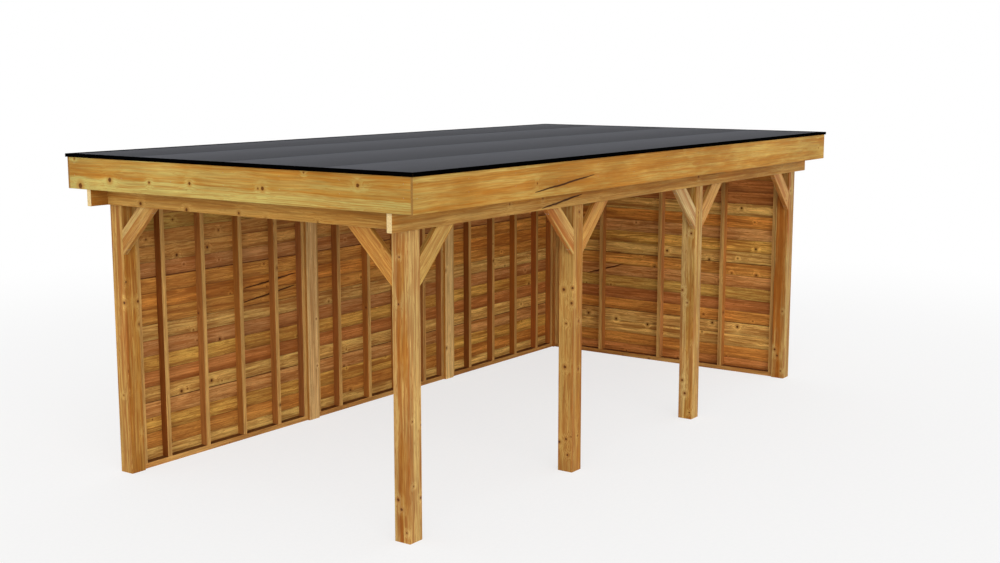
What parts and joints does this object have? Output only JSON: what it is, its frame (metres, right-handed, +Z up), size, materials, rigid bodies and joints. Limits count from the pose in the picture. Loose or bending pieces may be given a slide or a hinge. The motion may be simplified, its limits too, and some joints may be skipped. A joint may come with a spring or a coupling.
{
  "type": "veranda",
  "caption": "Freestanding timber veranda: flat roof on square posts with corner braces, lapped board walls along the back and one end, open along the front and the other end.",
  "frame": {"origin": "middle of the footprint, at ground level", "axes": "+X along the front towards the closed end, +Y from the open front to the back wall, +Z up"},
  "size_m": [7.008, 3.586, 2.656],
  "materials": {
    "post_timber": "planed softwood with eased edges, oiled, satin",
    "beam_timber": "planed softwood, oiled, satin",
    "brace_timber": "planed softwood with eased edges, oiled, matte",
    "frame_timber": "sawn softwood, oiled, matte",
    "board_timber": "sawn lapped boards, oiled, matte",
    "fascia_timber": "planed softwood, oiled, satin",
    "joist_timber": "sawn softwood, matte",
    "deck_timber": "planed roof boards, matte",
    "roof_sheet": "matte grey roofing sheet",
    "roof_trim": "black satin coating on aluminium"
  },
  "bodies": {
    "root": {"front_post_1": "post_timber", "front_post_2": "post_timber", "front_post_3": "post_timber", "front_post_4": "post_timber", "back_post_1": "post_timber", "back_post_2": "post_timber", "back_post_3": "post_timber", "back_post_4": "post_timber", "front_beam": "beam_timber", "back_beam": "beam_timber", "open_end_beam": "beam_timber", "closed_end_beam": "beam_timber", "front_brace_1": "brace_timber", "front_brace_2": "brace_timber", "front_brace_3": "brace_timber", "front_brace_4": "brace_timber", "front_brace_5": "brace_timber", "front_brace_6": "brace_timber", "open_end_brace_front": "brace_timber", "open_end_brace_back": "brace_timber", "back_sill_1": "frame_timber", "back_sill_2": "frame_timber", "back_sill_3": "frame_timber", "end_sill": "frame_timber", "back_studs_1": "frame_timber", "back_studs_2": "frame_timber", "back_studs_3": "frame_timber", "end_studs": "frame_timber", "back_rail_1": "frame_timber", "back_rail_2": "frame_timber", "back_rail_3": "frame_timber", "end_rail": "frame_timber", "back_boards_1": "board_timber", "back_boards_2": "board_timber", "back_boards_3": "board_timber", "end_boards": "board_timber", "front_fascia": "fascia_timber", "back_fascia": "fascia_timber", "open_end_fascia": "fascia_timber", "closed_end_fascia": "fascia_timber", "roof_joists": "joist_timber", "roof_deck": "deck_timber", "roof_sheet": "roof_sheet", "roof_trim": "roof_trim"}
  },
  "joints": []
}
